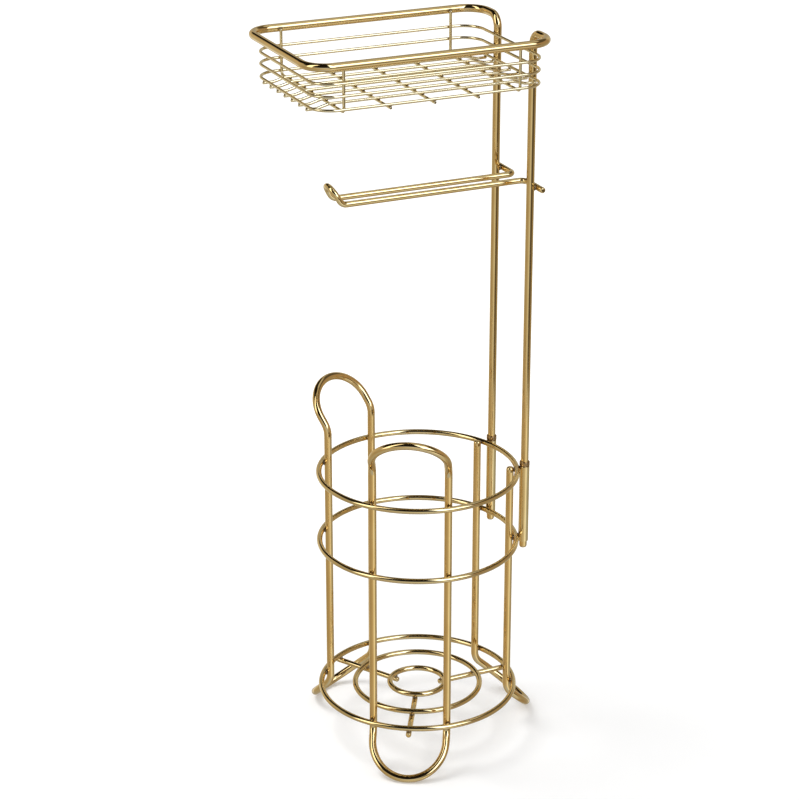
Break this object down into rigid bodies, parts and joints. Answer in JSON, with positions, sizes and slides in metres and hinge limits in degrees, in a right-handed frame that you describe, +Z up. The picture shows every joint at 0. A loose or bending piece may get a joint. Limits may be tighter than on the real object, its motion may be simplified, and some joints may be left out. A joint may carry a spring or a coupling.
{
  "type": "toilet roll holder",
  "caption": "Freestanding toilet roll holder in gold wire: round cage for spare rolls, lift-out upper frame with a roll arm and a shelf basket.",
  "frame": {"origin": "on the floor, under the middle of the whole holder's footprint", "axes": "+Z up, +X towards the two poles, +Y towards the rear; the basket and the roll arm point to -X"},
  "size_m": [0.2192, 0.186, 0.5919],
  "materials": {
    "gold_frame_wire": "polished gold plating",
    "gold_pole_wire": "polished gold plating",
    "gold_ring_wire": "polished gold plating",
    "gold_basket_wire": "polished gold plating",
    "gold_arm_wire": "polished gold plating",
    "gold_socket_tube": "polished gold plating",
    "gold_stop_bead": "polished gold plating"
  },
  "bodies": {
    "cage": {"base_ring_outer": "gold_ring_wire", "base_ring_middle": "gold_ring_wire", "base_ring_inner": "gold_ring_wire", "cage_ring_middle": "gold_ring_wire", "cage_ring_top": "gold_ring_wire", "base_spoke_pole_side": "gold_ring_wire", "base_spoke_rear": "gold_ring_wire", "base_spoke_front": "gold_ring_wire", "rear_hairpin": "gold_frame_wire", "front_hairpin": "gold_frame_wire", "pole_side_frame": "gold_frame_wire", "rear_pole_socket": "gold_socket_tube", "front_pole_socket": "gold_socket_tube"},
    "upper_frame": {"rim_and_poles": "gold_pole_wire", "rear_stop_bead": "gold_stop_bead", "front_stop_bead": "gold_stop_bead", "upper_rail": "gold_basket_wire", "middle_rail": "gold_basket_wire", "lower_rail": "gold_basket_wire", "basket_hoop_far_end": "gold_basket_wire", "basket_hoop_pole_end": "gold_basket_wire", "floor_cross_wire_1": "gold_basket_wire", "floor_cross_wire_2": "gold_basket_wire", "floor_cross_wire_3": "gold_basket_wire", "floor_long_wire_1": "gold_basket_wire", "floor_long_wire_2": "gold_basket_wire", "floor_long_wire_3": "gold_basket_wire", "floor_long_wire_4": "gold_basket_wire", "floor_long_wire_5": "gold_basket_wire", "floor_long_wire_6": "gold_basket_wire", "floor_long_wire_7": "gold_basket_wire", "roll_arm": "gold_arm_wire"}
  },
  "joints": [
    {"name": "upper_frame_lift", "type": "slide", "parent": "cage", "child": "upper_frame", "axis": [0, 0, 1], "range_m": [0, 0.08]}
  ]
}
